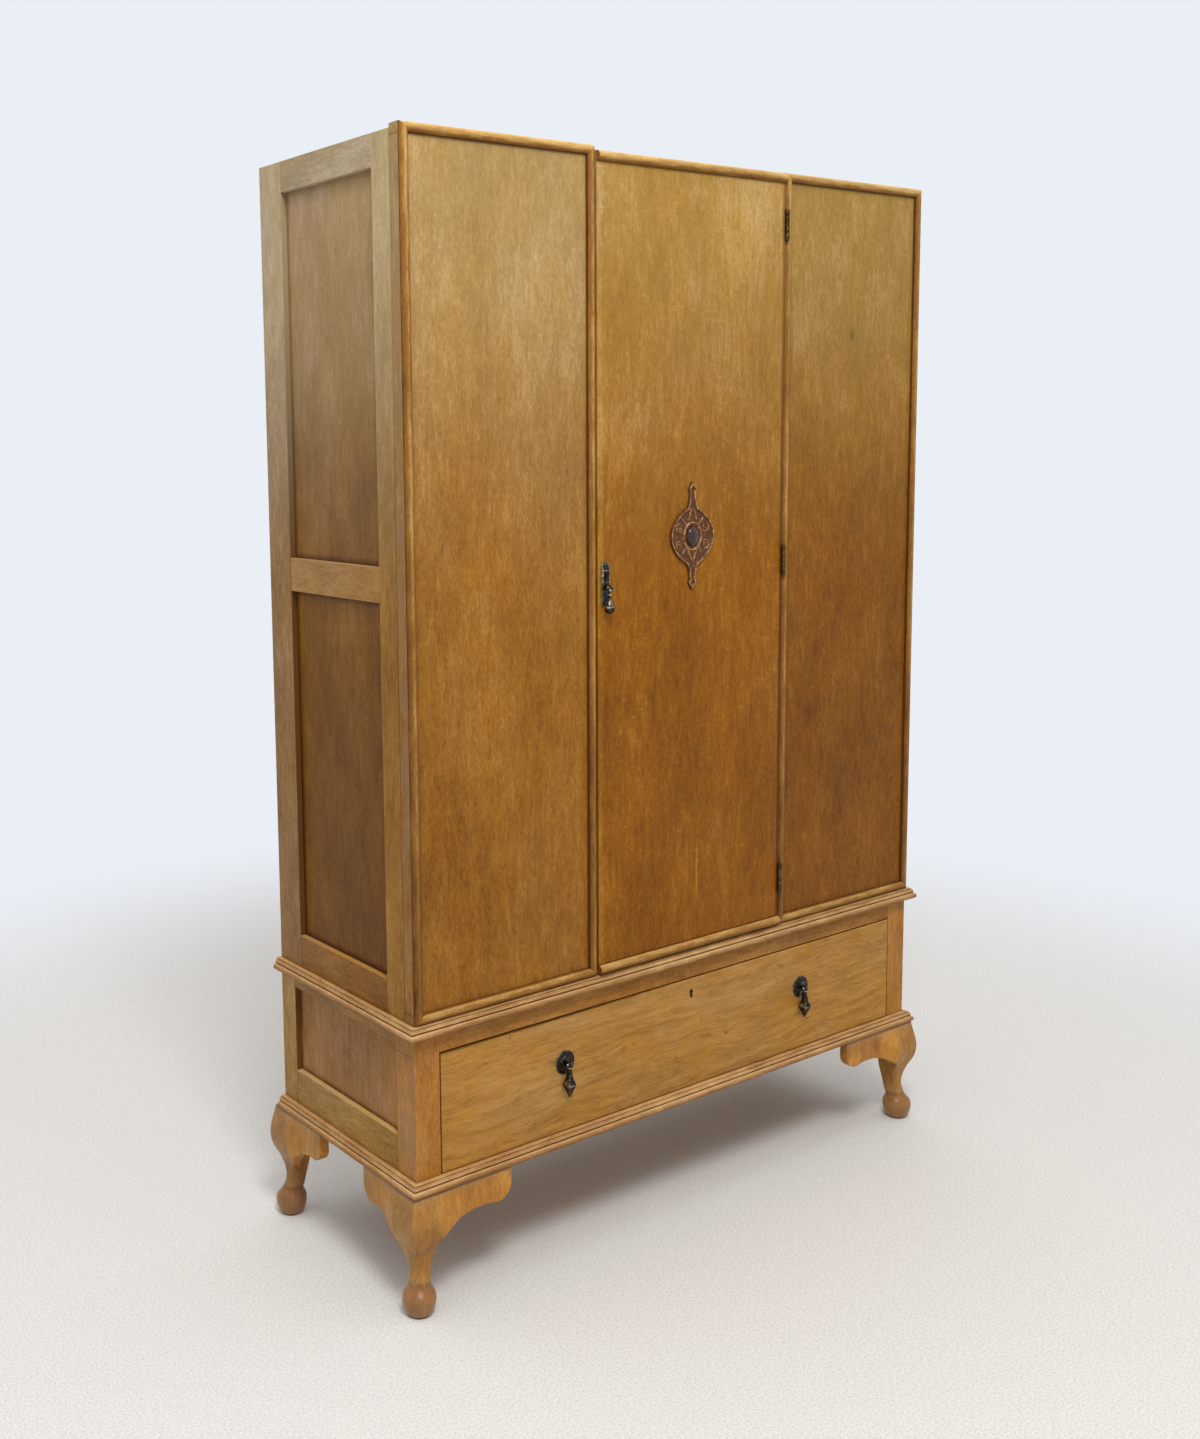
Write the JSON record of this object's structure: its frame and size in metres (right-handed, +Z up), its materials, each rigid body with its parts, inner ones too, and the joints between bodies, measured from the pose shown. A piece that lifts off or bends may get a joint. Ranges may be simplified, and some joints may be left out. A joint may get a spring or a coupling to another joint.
{
  "type": "wardrobe",
  "caption": "Oak wardrobe with a central hinged door between fixed fronts, a full-width drawer in its base and short cabriole legs with ball feet.",
  "frame": {"origin": "on the floor, under the middle of the whole wardrobe's box", "axes": "+X to the viewer's right, +Y to the back, +Z up; the door and drawer face -Y"},
  "size_m": [1.2316, 0.4573, 1.83],
  "materials": {
    "board_oak": "golden oak veneer, upright grain with fine rays, worn satin polish",
    "bead_oak": "golden oak, satin polish, worn pale on the crest",
    "frame_oak": "brown oak, satin polish",
    "panel_oak": "brown oak, dull polish",
    "base_oak": "golden brown oak, satin polish",
    "drawer_oak": "paler oak veneer with level, wavy grain, satin polish",
    "leg_oak": "orange brown stained wood, satin polish, darker feet",
    "inner_oak": "plain brown wood, unpolished",
    "drawer_pine": "pale wood, planed, unpolished",
    "plywood": "thin plywood, unpolished",
    "carved_wood": "dark red brown stained carving with worn pale edges",
    "dark_brass": "brass gone dark brown, dull with brighter worn edges",
    "lock_brass": "dull brass"
  },
  "bodies": {
    "carcase": {"left_front_stile": "frame_oak", "left_back_stile": "frame_oak", "left_side_rails": "frame_oak", "left_side_panels": "panel_oak", "right_front_stile": "frame_oak", "right_back_stile": "frame_oak", "right_side_rails": "frame_oak", "right_side_panels": "panel_oak", "top_board": "inner_oak", "floor_board": "inner_oak", "left_back_panel": "plywood", "right_back_panel": "plywood", "back_muntin": "inner_oak", "left_front_board": "board_oak", "right_front_board": "board_oak", "left_front_beads": "bead_oak", "right_front_beads": "bead_oak", "closing_post": "inner_oak", "hinge_post": "inner_oak", "hanging_rail": "lock_brass", "rail_bearers": "inner_oak", "carcase_screws": "lock_brass", "lock_strike": "lock_brass", "hinge_frame_leaves": "dark_brass", "hinge_frame_screws": "lock_brass", "hinge_pins": "dark_brass", "base_front_posts": "base_oak", "base_back_posts": "frame_oak", "base_side_rails": "frame_oak", "base_side_panels": "panel_oak", "base_front_top_rail": "base_oak", "base_front_bottom_rail": "base_oak", "base_back_panel": "plywood", "drawer_runners": "inner_oak", "waist_moulding": "bead_oak", "base_moulding": "bead_oak", "front_left_leg": "leg_oak", "front_right_leg": "leg_oak", "back_left_leg": "leg_oak", "back_right_leg": "leg_oak"},
    "door": {"door_board": "board_oak", "door_beads": "bead_oak", "door_ornament": "carved_wood", "door_handle_plate": "dark_brass", "door_lock_case": "lock_brass", "hinge_door_leaves": "dark_brass", "hinge_door_screws": "lock_brass"},
    "door_drop": {"door_handle_drop": "dark_brass"},
    "door_bolt": {"door_lock_bolt": "lock_brass"},
    "drawer": {"drawer_front": "drawer_oak", "drawer_sides": "drawer_pine", "drawer_back": "drawer_pine", "drawer_bottom": "plywood", "drawer_lock_case": "lock_brass", "drawer_escutcheon": "lock_brass", "pull_plates": "dark_brass"},
    "left_pull": {"left_pull_drop": "dark_brass"},
    "right_pull": {"right_pull_drop": "dark_brass"},
    "drawer_bolt": {"drawer_lock_bolt": "lock_brass"}
  },
  "joints": [
    {"name": "door_hinge", "type": "hinge", "parent": "carcase", "child": "door", "pos_m": [0.219, -0.21435, 1.149], "axis": [0, 0, 1], "range_deg": [0, 110]},
    {"name": "door_drop_swing", "type": "hinge", "parent": "door", "child": "door_drop", "pos_m": [-0.202, -0.22115, 1.13], "axis": [-1, 0, 0], "range_deg": [0, 85]},
    {"name": "door_bolt_slide", "type": "slide", "parent": "door", "child": "door_bolt", "axis": [-1, 0, 0], "range_m": [0, 0.008]},
    {"name": "drawer_slide", "type": "slide", "parent": "carcase", "child": "drawer", "axis": [0, -1, 0], "range_m": [0, 0.27]},
    {"name": "left_pull_swing", "type": "hinge", "parent": "drawer", "child": "left_pull", "pos_m": [-0.289, -0.21665, 0.339], "axis": [-1, 0, 0], "range_deg": [0, 85]},
    {"name": "right_pull_swing", "type": "hinge", "parent": "drawer", "child": "right_pull", "pos_m": [0.289, -0.21665, 0.339], "axis": [-1, 0, 0], "range_deg": [0, 85]},
    {"name": "drawer_bolt_slide", "type": "slide", "parent": "drawer", "child": "drawer_bolt", "axis": [0, 0, 1], "range_m": [0, 0.008]}
  ]
}
